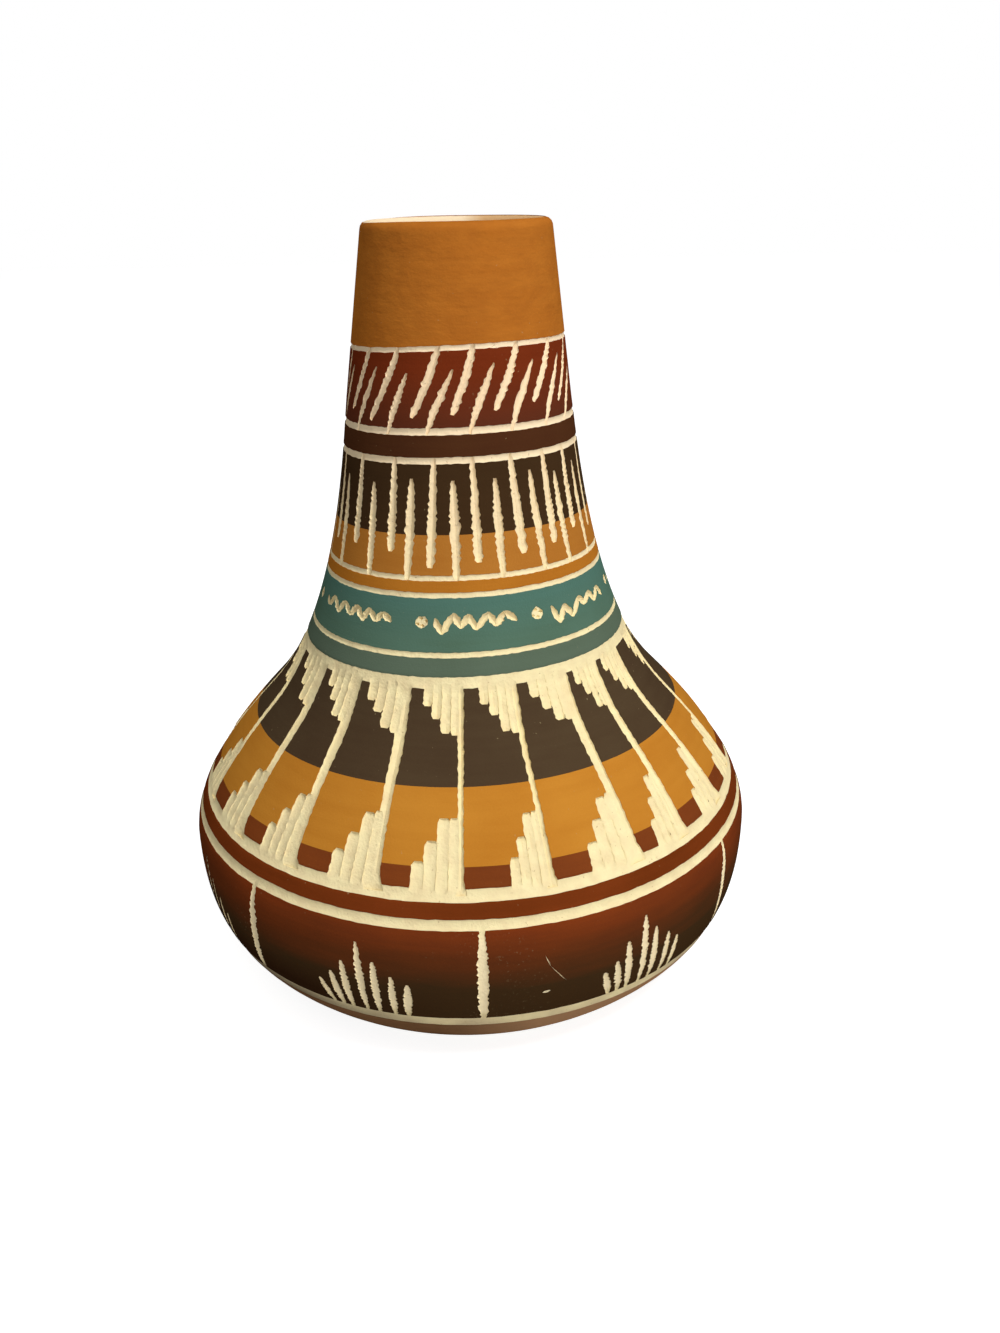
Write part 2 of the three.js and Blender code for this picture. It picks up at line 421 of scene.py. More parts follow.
def slip_coat(name, bottom, top, step=SLIP_STEP):
    bpy.ops.object.select_all(action="DESELECT")
    middle = (bottom + top) / 2 * MM
    bpy.ops.mesh.primitive_cylinder_add(
        vertices=SLIP_SIDES, radius=TUBE * MM, depth=(top - bottom) * MM, end_fill_type="NOTHING",
        location=(0, 0, middle))
    piece = bpy.context.object
    piece.name = name
    bpy.ops.object.transform_apply(location=True, rotation=False, scale=False)
    rings = max(1, round((top - bottom) / step) - 1)
    select_uprights(piece)
    bpy.ops.mesh.subdivide_edgering(number_cuts=rings, interpolation="LINEAR", profile_shape_factor=0)
    bpy.ops.object.mode_set(mode="OBJECT")
    wall = piece.modifiers.new("wall", "SOLIDIFY")
    wall.thickness = SLIP * MM
    wall.offset = -1
    bpy.ops.object.modifier_apply(modifier=wall.name)
    press(piece)
    return piece


def edge_between(lower, upper):
    """The height of the edge that two neighbouring coats share."""
    return (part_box(lower)[1].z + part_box(upper)[0].z) / 2 / MM


CLOUDS = 45, 3
CLOUD_RANGE = 0.35, 0.7
CLOUD_SHARE = 0.55
TURNING_RINGS = 40, 4, (1, 1, 14)
RING_RANGE = 0.4, 0.75
RING_SHARE = 0.3
SLIP_GRAIN = 2600, 2
GRAIN_RANGE = 0.3, 0.8
GRAIN_SHARE = 0.25
CLAY_DUST = colour(178, 160, 118)
DUST = 1000, 2
DUST_RANGE = 0.74, 0.78
DUST_SHARE = 0.35
SLIP_PORES = 1800, 3
TURNING_RIDGES = 30, 2, (1, 1, 30)
RIDGE_SHARE = 0.8
SLIP_RELIEF = 0.06 * MM


def slip_finish(name, body, cloud, roughness):
    """A sprayed matt slip: soft clouds, faint rings from the turning, fine grain and clay dust."""
    finish = Finish(name, roughness)
    clouds = finish.spread(finish.noise(*CLOUDS), *CLOUD_RANGE)
    rings = finish.spread(finish.noise(*TURNING_RINGS), *RING_RANGE)
    grain = finish.spread(finish.noise(*SLIP_GRAIN), *GRAIN_RANGE)
    clouded = clouds * CLOUD_SHARE + rings * RING_SHARE + grain * GRAIN_SHARE
    finish.tone = finish.mix(clouded, body, cloud)
    dust = finish.spread(finish.noise(*DUST), *DUST_RANGE)
    finish.tone = finish.mix(dust * DUST_SHARE, finish.tone, CLAY_DUST)
    finish.grain = finish.noise(*SLIP_PORES) + finish.noise(*TURNING_RIDGES) * RIDGE_SHARE
    return finish


def finish_coat(piece, finish, node):
    finish.dress(piece, finish.tone, finish.grain, SLIP_RELIEF)
    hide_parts(node)
    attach(piece, "root")


# Foot coat
# A thin tan wash round the underside curve, paler towards the right, and left bare where the pot stands.
foot_top = edge_between("foot_coat", "belly_coat")
foot_slip = slip_coat("foot_slip", BARE_FOOT, foot_top)
tan_finish = slip_finish("tan_wash", colour(124, 89, 60), colour(97, 68, 43), 0.7)
# The wash is painted paler towards the right, from 10 mm left of the middle to 15 mm right of it.
WASH_RIGHT_PALE = colour(160, 122, 88)
PALE_ACROSS = -10, 15
paler_right = tan_finish.spread(tan_finish.across, *PALE_ACROSS)
tan_finish.tone = tan_finish.mix(paler_right, tan_finish.tone, WASH_RIGHT_PALE)
finish_coat(foot_slip, tan_finish, "foot_coat")

# Belly coat
# Red-brown slip, smoked darker towards the bottom in streaks that run round the pot. Its bottom left is
# painted darkest, as painted shade. Handling left fine pale scuffs on it.
belly_top = edge_between("belly_coat", "red_ring_coat")
belly_slip = slip_coat("belly_slip", foot_top, belly_top)
burnt_finish = slip_finish("burnt_slip", colour(138, 60, 23), colour(113, 47, 21), 0.4)
BELLY_DARK = colour(62, 43, 24)
DARK_HEIGHTS = 51, 29
STREAKS = 30, 4, (1, 1, 7)
STREAK_SWING = 11
# Painted shade: the belly below about 30 mm is painted darker on its left, where the light falls off.
BELLY_LEFT_SHADE = colour(48, 29, 16)
LEFT_SHADE_HEIGHTS = 30, 22
SCUFFED = 42, 2
SCUFFED_RANGE = 0.54, 0.66
SCUFFS = 1300, 3
SCUFF_RANGE = 0.62, 0.7
SCUFF_SHARE = 0.18
streaks = burnt_finish.noise(*STREAKS)
smoke_height = burnt_finish.height + streaks * STREAK_SWING - STREAK_SWING / 2
darkening = burnt_finish.spread(smoke_height, *DARK_HEIGHTS)
burnt_finish.tone = burnt_finish.mix(darkening, burnt_finish.tone, BELLY_DARK)
# Painted shade on the bottom left of the belly.
painted_left_shade = burnt_finish.spread(burnt_finish.height, *LEFT_SHADE_HEIGHTS)
painted_left_shade = painted_left_shade * burnt_finish.spread(burnt_finish.across, *LEFT_SHADE_ACROSS)
burnt_finish.tone = burnt_finish.mix(painted_left_shade, burnt_finish.tone, BELLY_LEFT_SHADE)
scuffed = burnt_finish.spread(burnt_finish.noise(*SCUFFED), *SCUFFED_RANGE)
scuffs = burnt_finish.spread(burnt_finish.noise(*SCUFFS), *SCUFF_RANGE)
burnt_finish.tone = burnt_finish.mix(scuffed * scuffs * SCUFF_SHARE, burnt_finish.tone, CLAY_DUST)
finish_coat(belly_slip, burnt_finish, "belly_coat")

# Red ring coat
# A narrow ring of red-brown slip between two broad etched lines.
red_ring_top = edge_between("red_ring_coat", "red_shoulder_coat")
red_ring_slip = slip_coat("red_ring_slip", belly_top, red_ring_top)
red_finish = slip_finish("red_slip", colour(122, 55, 21), colour(102, 46, 15), 0.55)
finish_coat(red_ring_slip, red_finish, "red_ring_coat")

# Shoulder coats
# Three bands of slip laid edge to edge, red, ochre and dark brown from the bottom, with no etched
# line between them.
red_top = edge_between("red_shoulder_coat", "ochre_shoulder_coat")
ochre_top = edge_between("ochre_shoulder_coat", "dark_shoulder_coat")
dark_top = edge_between("dark_shoulder_coat", "teal_ring_coat")
red_shoulder_slip = slip_coat("red_shoulder_slip", red_ring_top, red_top)
ochre_shoulder_slip = slip_coat("ochre_shoulder_slip", red_top, ochre_top)
dark_shoulder_slip = slip_coat("dark_shoulder_slip", ochre_top, dark_top)
block_finish = slip_finish("red_block_slip", colour(129, 65, 28), colour(111, 54, 25), 0.6)
bright_ochre_finish = slip_finish("bright_ochre_slip", colour(197, 132, 47), colour(183, 116, 37), 0.6)
dark_finish = slip_finish("dark_slip", colour(80, 64, 45), colour(70, 53, 37), 0.6)
finish_coat(red_shoulder_slip, block_finish, "red_shoulder_coat")
finish_coat(ochre_shoulder_slip, bright_ochre_finish, "ochre_shoulder_coat")
finish_coat(dark_shoulder_slip, dark_finish, "dark_shoulder_coat")

# Teal coats
# A narrow ring and a broad band of blue-green slip. The narrow one took more brown dust, and the
# broad one is bluest at its top.
teal_ring_top = edge_between("teal_ring_coat", "teal_band_coat")
teal_band_top = edge_between("teal_band_coat", "ochre_ring_coat")
teal_ring_slip = slip_coat("teal_ring_slip", dark_top, teal_ring_top)
teal_band_slip = slip_coat("teal_band_slip", teal_ring_top, teal_band_top)
grey_teal_finish = slip_finish("grey_teal_slip", colour(93, 109, 91), colour(85, 100, 82), 0.6)
teal_finish = slip_finish("teal_slip", colour(86, 116, 99), colour(79, 105, 86), 0.6)
TEAL_BLUE = colour(76, 118, 109)
BLUE_START = 3
BLUE_END = 2
BLUE_SHARE = 0.5
blue = teal_finish.spread(teal_finish.height, teal_ring_top + BLUE_START, teal_band_top - BLUE_END)
teal_finish.tone = teal_finish.mix(blue * BLUE_SHARE, teal_finish.tone, TEAL_BLUE)
finish_coat(teal_ring_slip, grey_teal_finish, "teal_ring_coat")
finish_coat(teal_band_slip, teal_finish, "teal_band_coat")

# Ochre ring and comb coats
# A narrow ochre ring, then the comb band: ochre below and black above, edge to edge.
ochre_ring_top = edge_between("ochre_ring_coat", "ochre_comb_coat")
ochre_comb_top = edge_between("ochre_comb_coat", "black_comb_coat")
black_comb_top = edge_between("black_comb_coat", "brown_ring_coat")
ochre_ring_slip = slip_coat("ochre_ring_slip", teal_band_top, ochre_ring_top)
ochre_comb_slip = slip_coat("ochre_comb_slip", ochre_ring_top, ochre_comb_top)
black_comb_slip = slip_coat("black_comb_slip", ochre_comb_top, black_comb_top)
ring_ochre_finish = slip_finish("ring_ochre_slip", colour(187, 119, 40), colour(171, 104, 32), 0.6)
comb_ochre_finish = slip_finish("comb_ochre_slip", colour(183, 120, 49), colour(171, 107, 40), 0.6)
black_finish = slip_finish("black_slip", colour(67, 47, 28), colour(59, 41, 24), 0.6)
finish_coat(ochre_ring_slip, ring_ochre_finish, "ochre_ring_coat")
finish_coat(ochre_comb_slip, comb_ochre_finish, "ochre_comb_coat")
finish_coat(black_comb_slip, black_finish, "black_comb_coat")

# Brown ring and red hatch coats
# A plain dark brown ring, and over it a band of deep red that fades to brown at its foot.
brown_ring_top = edge_between("brown_ring_coat", "red_hatch_coat")
red_hatch_top = edge_between("red_hatch_coat", "neck_coat")
brown_ring_slip = slip_coat("brown_ring_slip", black_comb_top, brown_ring_top)
red_hatch_slip = slip_coat("red_hatch_slip", brown_ring_top, red_hatch_top)
brown_finish = slip_finish("brown_slip", colour(81, 48, 27), colour(71, 39, 23), 0.6)
hatch_finish = slip_finish("deep_red_slip", colour(122, 50, 24), colour(107, 41, 17), 0.6)
HATCH_BROWN = colour(88, 46, 30)
FADE_START = 5
FADE_END = 1
FADE_SHARE = 0.85
fading = hatch_finish.spread(hatch_finish.height, red_hatch_top - FADE_START, brown_ring_top + FADE_END)
hatch_finish.tone = hatch_finish.mix(fading * FADE_SHARE, hatch_finish.tone, HATCH_BROWN)
finish_coat(brown_ring_slip, brown_finish, "brown_ring_coat")
finish_coat(red_hatch_slip, hatch_finish, "red_hatch_coat")

# Neck coat
# Plain ochre slip on the neck, wrapped over the round lip to just inside the mouth.
LIP_COAT_TURN = math.radians(90)
NECK_STEP = 0.9
lip_end = LIP_HEIGHT + LIP_RADIUS * LIP_COAT_TURN
neck_slip = slip_coat("neck_slip", red_hatch_top, lip_end, NECK_STEP)
neck_finish = slip_finish("neck_ochre_slip", colour(184, 112, 40), colour(168, 96, 31), 0.6)
NECK_BLOTCH = colour(158, 90, 31)
BLOTCHES = 170, 5
BLOTCH_RANGE = 0.42, 0.66
BLOTCH_SHARE = 0.35
NECK_LUMPS = 330, 4, (1, 1, 2)
LUMP_SHARE = 4
blotches = neck_finish.spread(neck_finish.noise(*BLOTCHES), *BLOTCH_RANGE)
neck_finish.tone = neck_finish.mix(blotches * BLOTCH_SHARE, neck_finish.tone, NECK_BLOTCH)
neck_finish.grain = neck_finish.grain + neck_finish.noise(*NECK_LUMPS) * LUMP_SHARE
finish_coat(neck_slip, neck_finish, "neck_coat")

# Etched lines
# The potter held a graver against the turning pot and cut through the slip into the cream clay, so
# each line is a shallow round groove with slightly chipped edges, given as its height, width and
# depth.
CHIP_STEP = 1.0
TURNOVER = 0.75
NOTCH = -0.6, 0.3
TOOTH = 0.1, 1.2
LINE_CHIP = 0.13
TORUS_TUBE = 0.25
GROOVE_SIDES = 8
BULGE = 1.45
RISE = 0.45
LINES = [
    (foot_top, 4.4, 0.6), (belly_top, 3.2, 0.43), (red_ring_top, 3.5, 0.4), (dark_top, 3.4, 0.27),
    (teal_ring_top, 1.6, 0.3), (teal_band_top, 1.6, 0.3), (ochre_ring_top, 1.6, 0.3),
    (black_comb_top, 2.0, 0.35), (brown_ring_top, 2.1, 0.35), (red_hatch_top, 1.5, 0.3)]


def teeth(rings, chip, draw):
    """How far the two sides of a cutter stand out at each ring: a tooth here, a notch opposite."""
    pairs = []
    tooth_side = 0
    for ring in range(rings):
        pair = [draw.uniform(*NOTCH) * chip, draw.uniform(*NOTCH) * chip]
        pair[tooth_side] = draw.uniform(*TOOTH) * chip
        pairs.append(pair)
        tooth_side = 1 - tooth_side if draw.random() < TURNOVER else tooth_side
    return pairs


def groove_place(turn, height, across, out, width, depth):
    """Puts a point of a round cutter, given on a unit circle, at its place on the face."""
    return on_vase(turn, height + across * width / 2, (out * BULGE + RISE) * depth)


def carve(cutter, *pieces):
    for piece in pieces:
        bpy.ops.object.select_all(action="DESELECT")
        piece.select_set(True)
        bpy.context.view_layer.objects.active = piece
        cut = piece.modifiers.new("cut", "BOOLEAN")
        cut.operation = "DIFFERENCE"
        cut.solver = "MANIFOLD"
        cut.object = cutter
        bpy.ops.object.modifier_apply(modifier=cut.name)
    bpy.data.objects.remove(cutter)


def joined(cutters):
    bpy.ops.object.select_all(action="DESELECT")
    for cutter in cutters:
        cutter.select_set(True)
    bpy.context.view_layer.objects.active = cutters[0]
    bpy.ops.object.join()
    bpy.ops.object.mode_set(mode="EDIT")
    bpy.ops.mesh.select_all(action="SELECT")
    bpy.ops.mesh.normals_make_consistent(inside=False)
    bpy.ops.object.mode_set(mode="OBJECT")
    return bpy.context.object


def ring_cutter(height, width, depth, draw):
    bpy.ops.object.select_all(action="DESELECT")
    around = 2 * round(math.pi * on_face(height).x / CHIP_STEP)
    bpy.ops.mesh.primitive_torus_add(
        major_segments=around, minor_segments=GROOVE_SIDES, major_radius=1, minor_radius=TORUS_TUBE)
    cutter = bpy.context.object
    chips = teeth(around, LINE_CHIP, draw)
    for vertex in cutter.data.vertices:
        turn = math.atan2(vertex.co.x, -vertex.co.y)
        out = (math.hypot(vertex.co.x, vertex.co.y) - 1) / TORUS_TUBE
        across = vertex.co.z / TORUS_TUBE
        chip = chips[round(turn / math.tau * around) % around][across > 0]
        vertex.co = groove_place(turn, height, across, out, width + chip * 2, depth)
    return cutter


draw = random.Random(11)
line_cutters = joined([ring_cutter(*line, draw) for line in LINES])
coats = [
    foot_slip, belly_slip, red_ring_slip, red_shoulder_slip, ochre_shoulder_slip, dark_shoulder_slip,
    teal_ring_slip, teal_band_slip, ochre_ring_slip, ochre_comb_slip, black_comb_slip,
    brown_ring_slip, red_hatch_slip, neck_slip]
carve(line_cutters, clay, *coats)

# Etched strokes
# Each stroke is one pull of the graver. Its sides are chipped every millimetre or so, and it is
# narrow where the graver went in or came out. Places are turns from the front in degrees, and
# heights. Marks that the photograph shows are kept, and like ones go on evenly round the back.
STROKE_DEPTH = 1.0
STROKE_STEP = 0.75
STROKE_CHIP = 0.42
WIDTH_SPREAD = 0.92, 1.08
RAMP_START = 0.8
NARROW_DEPTH = 0.45
WIDTH_DEPTH = 0.55


def all_round(seen, more):
    """Adds more marks at even turns round the back. Each mark is a tuple that starts with its turn."""
    last = seen[-1][0]
    spacing = (seen[0][0] + 360 - last) / (more + 1)
    added = range(1, more + 1)
    return seen + [(last + spacing * index, *seen[index % len(seen)][1:]) for index in added]


def stroke_cutters(
        strokes, shape, draw, chip=STROKE_CHIP, depth=STROKE_DEPTH, bend=1.0, step=STROKE_STEP,
        ramp=0.0, chatter=0.0):
    """One cutter for each stroke, given as its start and end, each a turn and a height, and width.

    A bend above 1 starts a slanting stroke more upright. A ramp is the length over which the stroke
    gets to its full depth, in millimetres. Chatter is how far its depth wavers, as a share."""
    lengths = []
    for (turn, height), (end_turn, end_height), width in strokes:
        sweep = math.radians(end_turn - turn) * on_face((height + end_height) / 2).x
        climb = (on_face(end_height) - on_face(height)).length
        lengths.append((sweep, math.copysign(climb, end_height - height)))
    rings = max(4, round(max(math.hypot(*length) for length in lengths) / step))
    bpy.ops.object.select_all(action="DESELECT")
    bpy.ops.mesh.primitive_cylinder_add(vertices=GROOVE_SIDES, radius=1, depth=1)
    blade = bpy.context.object
    select_uprights(blade)
    bpy.ops.mesh.subdivide_edgering(
        number_cuts=rings - 1, interpolation="LINEAR", profile_shape_factor=0)
    bpy.ops.object.mode_set(mode="OBJECT")
    cutters = []
    for ((turn, height), (end_turn, end_height), width), (sweep, climb) in zip(strokes, lengths):
        cutter = blade.copy()
        cutter.data = blade.data.copy()
        bpy.context.collection.objects.link(cutter)
        length = math.hypot(sweep, climb)
        aside = Vector((-climb, sweep)) / length
        chips = teeth(rings + 1, chip, draw)
        wavers = [1 + draw.uniform(-chatter, chatter) for ring in range(rings + 1)]
        for vertex in cutter.data.vertices:
            share = vertex.co.z + 0.5
            wide = along(shape, share)
            ring = round(share * rings)
            tooth = chips[ring][vertex.co.x > 0]
            reach = vertex.co.x * (width / 2 * wide + tooth * min(1, wide))
            level = height + (end_height - height) * share
            steep = (on_face(level + 0.5) - on_face(level - 0.5)).length
            aside_turn = reach * aside.x / on_face(level).x
            place_turn = math.radians(turn + (end_turn - turn) * share**bend) + aside_turn
            deep = depth * min(1, (share * length + RAMP_START) / (ramp + RAMP_START))
            deep = deep * (NARROW_DEPTH + WIDTH_DEPTH * min(1, wide))
            out = (vertex.co.y * BULGE + RISE) * deep * wavers[ring]
            vertex.co = on_vase(place_turn, level + reach * aside.y / steep, out)
        cutters.append(cutter)
    bpy.data.objects.remove(blade)
    return joined(cutters)


# Hatch strokes
# Slanting strokes hang from the top line and rise from the bottom line in turn. Each is given as
# its turn at the line, how far round it leans, and the height of its tip. The graver went in a
# little past the line and left a nick there.
HATCH_WIDTH = 2.2
HATCH_BEND = 1.2
PAST_LINE = 0.9
HATCH_HANGING = all_round([
    (-52, -13.5, 160), (-32, -16, 158), (-10, -13.5, 159), (7.5, -11, 159.5), (31, -14, 160),
    (54, -15.5, 161), (75, -17, 160)], 10)
HATCH_RISING = all_round([
    (-59, 13.5, 171), (-36.5, 10, 169.5), (-16, 13, 170), (4.5, 13, 171), (25, 15, 171),
    (45.5, 16.5, 171.5), (63, 17, 169)], 10)
HOOK = [(0, 0.35), (0.1, 0.75), (0.4, 1), (0.93, 0.85), (1, 0.4)]
THORN = [(0, 0.4), (0.12, 0.6), (0.35, 0.95), (0.6, 1), (0.92, 0.5), (1, 0.25)]
draw = random.Random(5)
for marks, line, shape in (
        (HATCH_HANGING, red_hatch_top + PAST_LINE, HOOK),
        (HATCH_RISING, brown_ring_top - PAST_LINE, THORN)):
    strokes = [
        ((turn, line), (turn + lean, tip), HATCH_WIDTH * draw.uniform(*WIDTH_SPREAD))
        for turn, lean, tip in marks]
    carve(stroke_cutters(strokes, shape, draw, bend=HATCH_BEND), clay, red_hatch_slip)

# Comb strokes
# Upright strokes hang through the black into the ochre, and others rise between them from the
# ochre into the black. They are given in the same way.
COMB_WIDTH = 2.65
COMB_CHIP = 0.46
COMB_SPREAD = 0.92, 1.1
COMB_HANGING = all_round([
    (-72.5, 1.5, 126), (-53, 0, 127), (-32, 0, 126.5), (-12.5, -1.5, 123), (5, 1, 124), (23, 2.5, 125),
    (41, 1, 126), (56, 0.5, 128), (74, -0.5, 126)], 11)
COMB_RISING = all_round([
    (-62.5, -2.5, 143.5), (-42, -1.5, 143), (-23.5, 0.5, 144.5), (-3, -1, 144), (15.5, -0.5, 144),
    (35, -2.5, 145), (49.5, -2, 143.5), (65.5, -1, 144.5)], 12)
CLUB = [(0, 0.3), (0.06, 0.6), (0.3, 0.78), (0.65, 1), (0.95, 0.95), (1, 0.5)]
SPIKE = [(0, 0.4), (0.06, 0.7), (0.3, 0.9), (0.6, 1), (0.9, 0.65), (1, 0.35)]
draw = random.Random(6)
for marks, line, shape in (
        (COMB_HANGING, black_comb_top + PAST_LINE, CLUB),
        (COMB_RISING, ochre_ring_top - PAST_LINE, SPIKE)):
    strokes = [
        ((turn, line), (turn + lean, tip), COMB_WIDTH * draw.uniform(*COMB_SPREAD))
        for turn, lean, tip in marks]
    carve(stroke_cutters(strokes, shape, draw, COMB_CHIP), clay, ochre_comb_slip, black_comb_slip)

# Teal marks
# Round dots, scraped and then pecked, each with a zigzag cut after it in short to-and-fro pulls.
# The corners of a zigzag are given as turns on from its dot, and heights.
DOT_HEIGHT = 110
DOT_WIDTH = 3.7
DOT_REACH = 2.4
DOT_DEPTH = 0.5
PECK_WIDTH = 1.2
PECK_REACH = 0.8
PECKS = [(-1.7, -0.5), (-0.4, 0.9), (0.2, -0.9), (1.7, 0.3)]
PULL_WIDTH = 2.1
PULL_DEPTH = 0.95
PULL_CHIP = 0.32
FIRST_ZIGZAG = [
    (9, 111), (12, 109), (16, 112), (20.5, 108.5), (24, 112), (28.5, 109), (32, 112), (35.5, 108.5),
    (38, 112), (42, 109), (44.5, 111.5), (49, 109.5)]
MIDDLE_ZIGZAG = [
    (5, 111), (7.5, 107.2), (12, 112.2), (14.5, 108.5), (17.5, 111.8), (20, 108), (25, 112),
    (27.5, 108.5), (31, 111.8), (35.5, 109.2)]
LAST_ZIGZAG = [
    (6.5, 111), (9.5, 106.3), (13, 110.6), (16.5, 106.8), (21.5, 111.2), (24.5, 108.5), (28.5, 111.3),
    (32, 108), (36, 111.2), (39.5, 108)]
MARKS = [
    (-77.5, FIRST_ZIGZAG), (-16.5, MIDDLE_ZIGZAG), (27.5, LAST_ZIGZAG), (77.5, MIDDLE_ZIGZAG),
    (129, LAST_ZIGZAG), (180, MIDDLE_ZIGZAG), (231, LAST_ZIGZAG)]
ROUND = [(0, 0.3), (0.12, 0.68), (0.3, 0.93), (0.5, 1), (0.7, 0.93), (0.88, 0.68), (1, 0.3)]
LEAF = [(0, 0.22), (0.25, 0.85), (0.5, 1), (0.75, 0.85), (1, 0.22)]
draw = random.Random(7)
downward = []
upward_pulls = []
dots = []
pecks = []
for dot_turn, zigzag in MARKS:
    dots.append(((dot_turn - DOT_REACH, DOT_HEIGHT), (dot_turn + DOT_REACH, DOT_HEIGHT), DOT_WIDTH))
    for aside, rise in PECKS:
        peck_turn = dot_turn + aside
        level = DOT_HEIGHT + rise
        pecks.append(((peck_turn - PECK_REACH, level), (peck_turn + PECK_REACH, level), PECK_WIDTH))
    corners = [(dot_turn + turn, height) for turn, height in zigzag]
    for index, (start, end) in enumerate(zip(corners, corners[1:])):
        (upward_pulls if index % 2 else downward).append((start, end, PULL_WIDTH))
carve(stroke_cutters(dots, ROUND, draw, STROKE_CHIP, DOT_DEPTH), clay, teal_band_slip)
carve(stroke_cutters(pecks, ROUND, draw, 0), clay)
for strokes in (downward, upward_pulls):
    carve(stroke_cutters(strokes, LEAF, draw, PULL_CHIP, PULL_DEPTH), clay, teal_band_slip)

# Shoulder steps
# Long strokes run down the shoulder from line to line. On the left of each, flutes side by side
# make a stair: four hang from the top line, and four stand on the bottom line. The long strokes and
# the outer flutes widen where they meet a line, which rounds the corners of the slip left between
# them. A long stroke is given as its turn at the top, how far round its foot lies, its width, and
# the sweeps of its stairs.
LONG_STROKES = all_round([
    (-76, 3.5, 2.6, 13, 9.5), (-56, 1.5, 2.8, 13.5, 9.5), (-38.5, 1, 2.8, 12, 9), (-20, 1, 2.7, 13, 9.5),
    (-2.5, 0, 1.4, 11.5, 9.5), (14.5, 0, 1.4, 11, 7.5), (32, 1, 2.7, 12.5, 10), (46, 0.5, 2.5, 9.5, 7.5),
    (60.5, 2.5, 2.5, 10, 8.5), (81.5, -2, 2.5, 9.5, 8.5)], 11)
UPPER_ENDS = [84.4, 85, 88.2, 91]
LOWER_ENDS = [69.4, 69.2, 65, 61]
FLUTE_OVERLAP = 1.27
FLUTE_STEP = 1.0
FLUTE_DEPTH = 0.9
FLUTE_RAMP = 3.5
FLUTE_CHIP = 0.24
FLUTE_END_SPREAD = -0.3, 0.3
CHATTER = 0.08
CUT_SHARE = 1.2
LONG_CHIP = 0.25
LONG = [(0, 1.2), (0.1, 1), (0.35, 1), (0.6, 0.9), (0.91, 0.95), (0.95, 1.3), (0.975, 1.9), (1, 2.1)]
FLUTE = [(0, 1), (0.93, 1), (0.97, 0.92), (1, 0.62)]
OUTER_FLUTE = [(0, 1.9), (0.12, 1.6), (0.25, 1.15), (0.4, 1), (0.88, 1), (0.96, 0.9), (1, 0.6)]
shoulder_slips = dark_shoulder_slip, ochre_shoulder_slip, red_shoulder_slip
draw = random.Random(8)
long_cuts = [
    ((turn, dark_top), (turn + lean, red_ring_top), width * CUT_SHARE)
    for turn, lean, width, upper, lower in LONG_STROKES]
cutters = stroke_cutters(long_cuts, LONG, draw, LONG_CHIP, step=FLUTE_STEP, ramp=FLUTE_RAMP)
carve(cutters, clay, *shoulder_slips)
for place, (upper_end, lower_end) in enumerate(zip(UPPER_ENDS, LOWER_ENDS)):
    shape = OUTER_FLUTE if upper_end == UPPER_ENDS[-1] else FLUTE
    flutes = []
    for turn, lean, width, upper, lower in LONG_STROKES:
        stairs = (
            (dark_top + PAST_LINE, upper_end, upper, turn),
            (red_ring_top - PAST_LINE, lower_end, lower, turn + lean))
        for line, end, sweep, line_turn in stairs:
            flute_turn = line_turn - (place + 0.5) * sweep / len(UPPER_ENDS)
            radius = on_face((line + end) / 2).x
            flute_width = math.radians(sweep / len(UPPER_ENDS)) * radius * FLUTE_OVERLAP
            tip = end + draw.uniform(*FLUTE_END_SPREAD)
            flutes.append(((flute_turn, line), (flute_turn, tip), flute_width))
    cutters = stroke_cutters(
        flutes, shape, draw, FLUTE_CHIP, FLUTE_DEPTH, step=FLUTE_STEP, ramp=FLUTE_RAMP, chatter=CHATTER)
    carve(cutters, clay, *shoulder_slips)

# Belly strokes
# Upright strokes divide the belly, and between each two a tuft of seven blades fans up from the
# bottom line, the tallest in its middle. A blade is given as the places of its foot and its tip
# beside the middle of the tuft. On the right of the middle one the slip is rubbed and nicked.
DIVIDERS = all_round([(-45, -2), (1, 0), (57.5, 0)], 4)
DIVIDER_FOOT = 18.4
DIVIDER_WIDTH = 3.0
TUFTS = all_round([(-66,), (-21.5,), (32,)], 4)
BLADES = [
    (-6.5, -8.5, 27.5), (-4.5, -6, 30.5), (-2.5, -3.5, 35), (0.5, 0, 41.5), (3, 3, 36.5), (6, 6, 32.5),
    (8.5, 9, 30)]
BLADE_FOOT = 18.8
BLADE_WIDTH = 2.5
BELLY_DEPTH = 0.65
BELLY_CHIP = 0.55
BELLY_CHIP_STEP = 0.62
TIP_TURN_SPREAD = -0.3, 0.3
TIP_HEIGHT_SPREAD = -0.5, 0.5
RUB = [((12, 38), (13, 34.5), 0.3), ((13, 34.5), (16, 29), 0.26), ((11.5, 26.3), (13.2, 26.7), 1.1)]
RUB_DEPTH = 0.25
RUB_CHIP = 0.08
DIVIDER = [(0, 0.5), (0.12, 0.65), (0.35, 1), (0.85, 0.95), (1, 0.5)]
BLADE = [(0, 0.45), (0.25, 0.85), (0.55, 1), (0.9, 0.65), (1, 0.3)]
draw = random.Random(9)
dividers = [((turn, belly_top), (turn + lean, DIVIDER_FOOT), DIVIDER_WIDTH) for turn, lean in DIVIDERS]
cutters = stroke_cutters(dividers, DIVIDER, draw, BELLY_CHIP, BELLY_DEPTH, step=BELLY_CHIP_STEP)
carve(cutters, clay, belly_slip)
blades = []
for (middle,) in TUFTS:
    for foot_aside, tip_aside, tip in BLADES:
        tip_turn = middle + tip_aside + draw.uniform(*TIP_TURN_SPREAD)
        tip_place = (tip_turn, tip + draw.uniform(*TIP_HEIGHT_SPREAD))
        width = BLADE_WIDTH * draw.uniform(*WIDTH_SPREAD)
        blades.append(((middle + foot_aside, BLADE_FOOT), tip_place, width))
cutters = stroke_cutters(blades, BLADE, draw, BELLY_CHIP, BELLY_DEPTH, step=BELLY_CHIP_STEP)
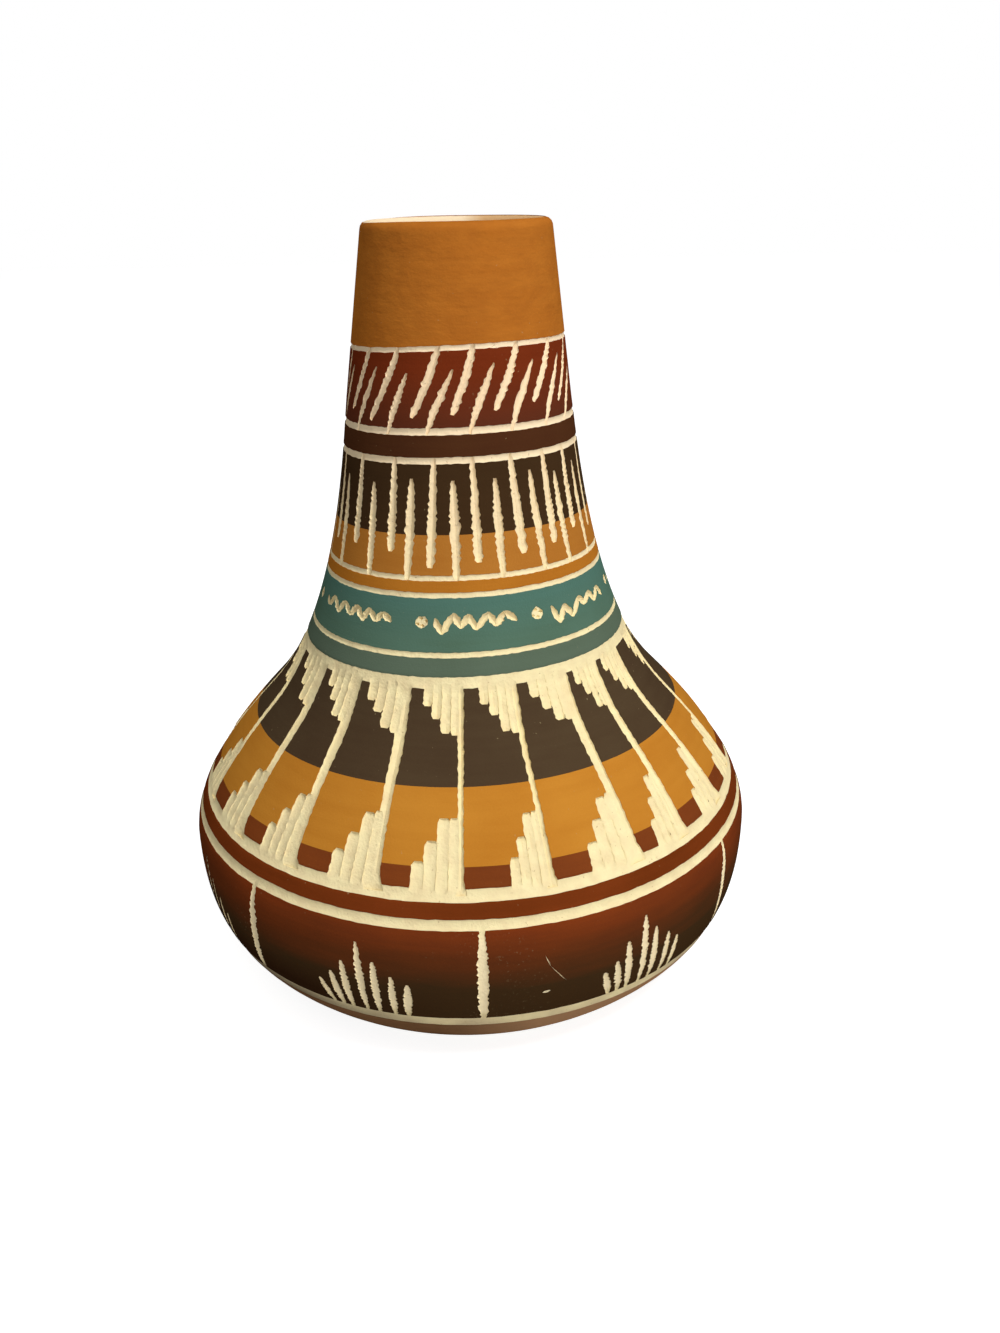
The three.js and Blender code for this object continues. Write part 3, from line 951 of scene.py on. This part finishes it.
carve(cutters, clay, belly_slip)
for rub in RUB:
    carve(stroke_cutters([rub], LEAF, draw, RUB_CHIP, RUB_DEPTH), clay, belly_slip)

# Leaning neck
# The wet pot was set down a touch askew, so its neck leans slightly to the right.
LEAN_START = 160
RIM_LEAN = 0.7
LEAN = [(0, 0), (LEAN_START, 0), (HEIGHT, RIM_LEAN)]
for piece in (clay, glaze, *coats):
    for vertex in piece.data.vertices:
        vertex.co.x += along(LEAN, vertex.co.z / MM) * MM

# Smooth faces
# Fired slip and clay shade smoothly, except at the edges that the graver cut.
EDGE_ANGLE = math.radians(38)
for piece in (clay, glaze, *coats):
    bpy.ops.object.select_all(action="DESELECT")
    piece.select_set(True)
    bpy.context.view_layer.objects.active = piece
    bpy.ops.object.shade_smooth_by_angle(angle=EDGE_ANGLE)

# Floor and light
# A plain floor that the camera sees as white under the vase's soft shadow, one large lamp high up
# on the right, two weaker ones high on the left and low on the right, and a faint even sky, which
# is white where it is seen.
FLOOR_TONE = 0.6
FLOOR_GLOW = 0.87
FLOOR_SIZE = 6
SKY = 0.2
LAMP_AIM = Vector((0, 0, 0.1))


def background_strength(tree, unseen, seen):
    """One strength for what is seen straight or mirrored, and another for the light it gives."""
    ray = tree.nodes.new("ShaderNodeLightPath")
    total = ray.outputs["Is Camera Ray"]
    for kind in ("Is Glossy Ray", "Is Transmission Ray"):
        either = tree.nodes.new("ShaderNodeMath")
        either.operation = "MAXIMUM"
        tree.links.new(total, either.inputs[0])
        tree.links.new(ray.outputs[kind], either.inputs[1])
        total = either.outputs[0]
    strength = tree.nodes.new("ShaderNodeMapRange")
    strength.inputs["To Min"].default_value = unseen
    strength.inputs["To Max"].default_value = seen
    tree.links.new(total, strength.inputs["Value"])
    return strength.outputs[0]


bpy.ops.object.select_all(action="DESELECT")
bpy.ops.mesh.primitive_plane_add(size=FLOOR_SIZE, location=(0, 0, 0))
floor = bpy.context.object
floor.name = "floor"
floor_finish = Finish("white_floor", 0.9)
floor_finish.shader.inputs["Base Color"].default_value = (FLOOR_TONE, FLOOR_TONE, FLOOR_TONE, 1)
floor_finish.shader.inputs["Emission Color"].default_value = (1, 1, 1, 1)
glow = background_strength(floor_finish.tree, 0, FLOOR_GLOW)
floor_finish.tree.links.new(glow, floor_finish.shader.inputs["Emission Strength"])
floor.data.materials.append(floor_finish.material)


def lamp(name, place, size, power):
    bpy.ops.object.light_add(type="AREA", location=place)
    light = bpy.context.object
    light.name = name
    light.data.shape = "DISK"
    light.data.size = size
    light.data.energy = power
    light.rotation_euler = (LAMP_AIM - Vector(place)).to_track_quat("-Z", "Y").to_euler()


lamp("key_lamp", (0.42, -0.5, 1.23), 0.5, 11.9)
lamp("fill_lamp", (-0.42, -0.5, 1.23), 0.8, 2.1)
lamp("low_lamp", (0.6, -1.1, 0.2), 0.4, 3.7)
world = bpy.data.worlds.new("even_sky")
bpy.context.scene.world = world
world.use_nodes = True
background = world.node_tree.nodes["Background"]
background.inputs["Color"].default_value = (1, 1, 1, 1)
world.node_tree.links.new(background_strength(world.node_tree, SKY, 1), background.inputs["Strength"])
bpy.context.scene.view_settings.view_transform = "Standard"
